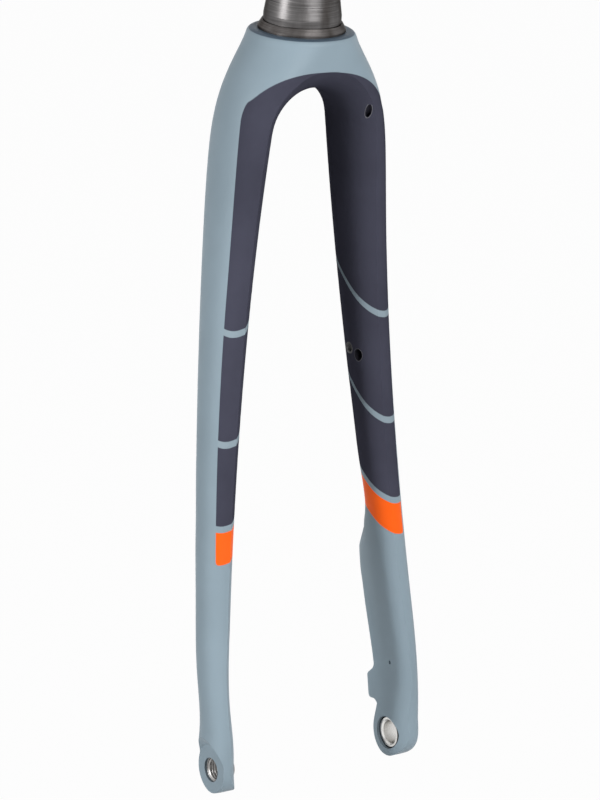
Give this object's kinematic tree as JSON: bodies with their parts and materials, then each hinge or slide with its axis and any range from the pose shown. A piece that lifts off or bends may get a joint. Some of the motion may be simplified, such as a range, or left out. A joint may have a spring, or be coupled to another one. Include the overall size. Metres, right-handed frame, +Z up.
{
  "type": "rigid bicycle fork",
  "caption": "Rigid bicycle fork with a carbon crown and raked blades, a tapered steerer, thru-axle feet and a rear flat brake mount.",
  "frame": {"origin": "centre of the crown race seat, on the steerer axis at the top of the crown", "axes": "+Z up the steerer, -Y the direction of travel, +X the disc brake side"},
  "size_m": [0.1322, 0.089, 0.6905],
  "materials": {
    "painted_carbon": "satin",
    "steerer_alloy": "machined",
    "race_steel": "machined",
    "fitting_alloy": "machined"
  },
  "bodies": {
    "root": {"fork_body": "painted_carbon", "steerer_tube": "steerer_alloy", "crown_race": "race_steel", "axle_insert": "fitting_alloy", "axle_bush": "fitting_alloy", "brake_insert_lower": "fitting_alloy", "brake_insert_upper": "fitting_alloy", "leg_eyelet": "fitting_alloy"}
  },
  "joints": []
}
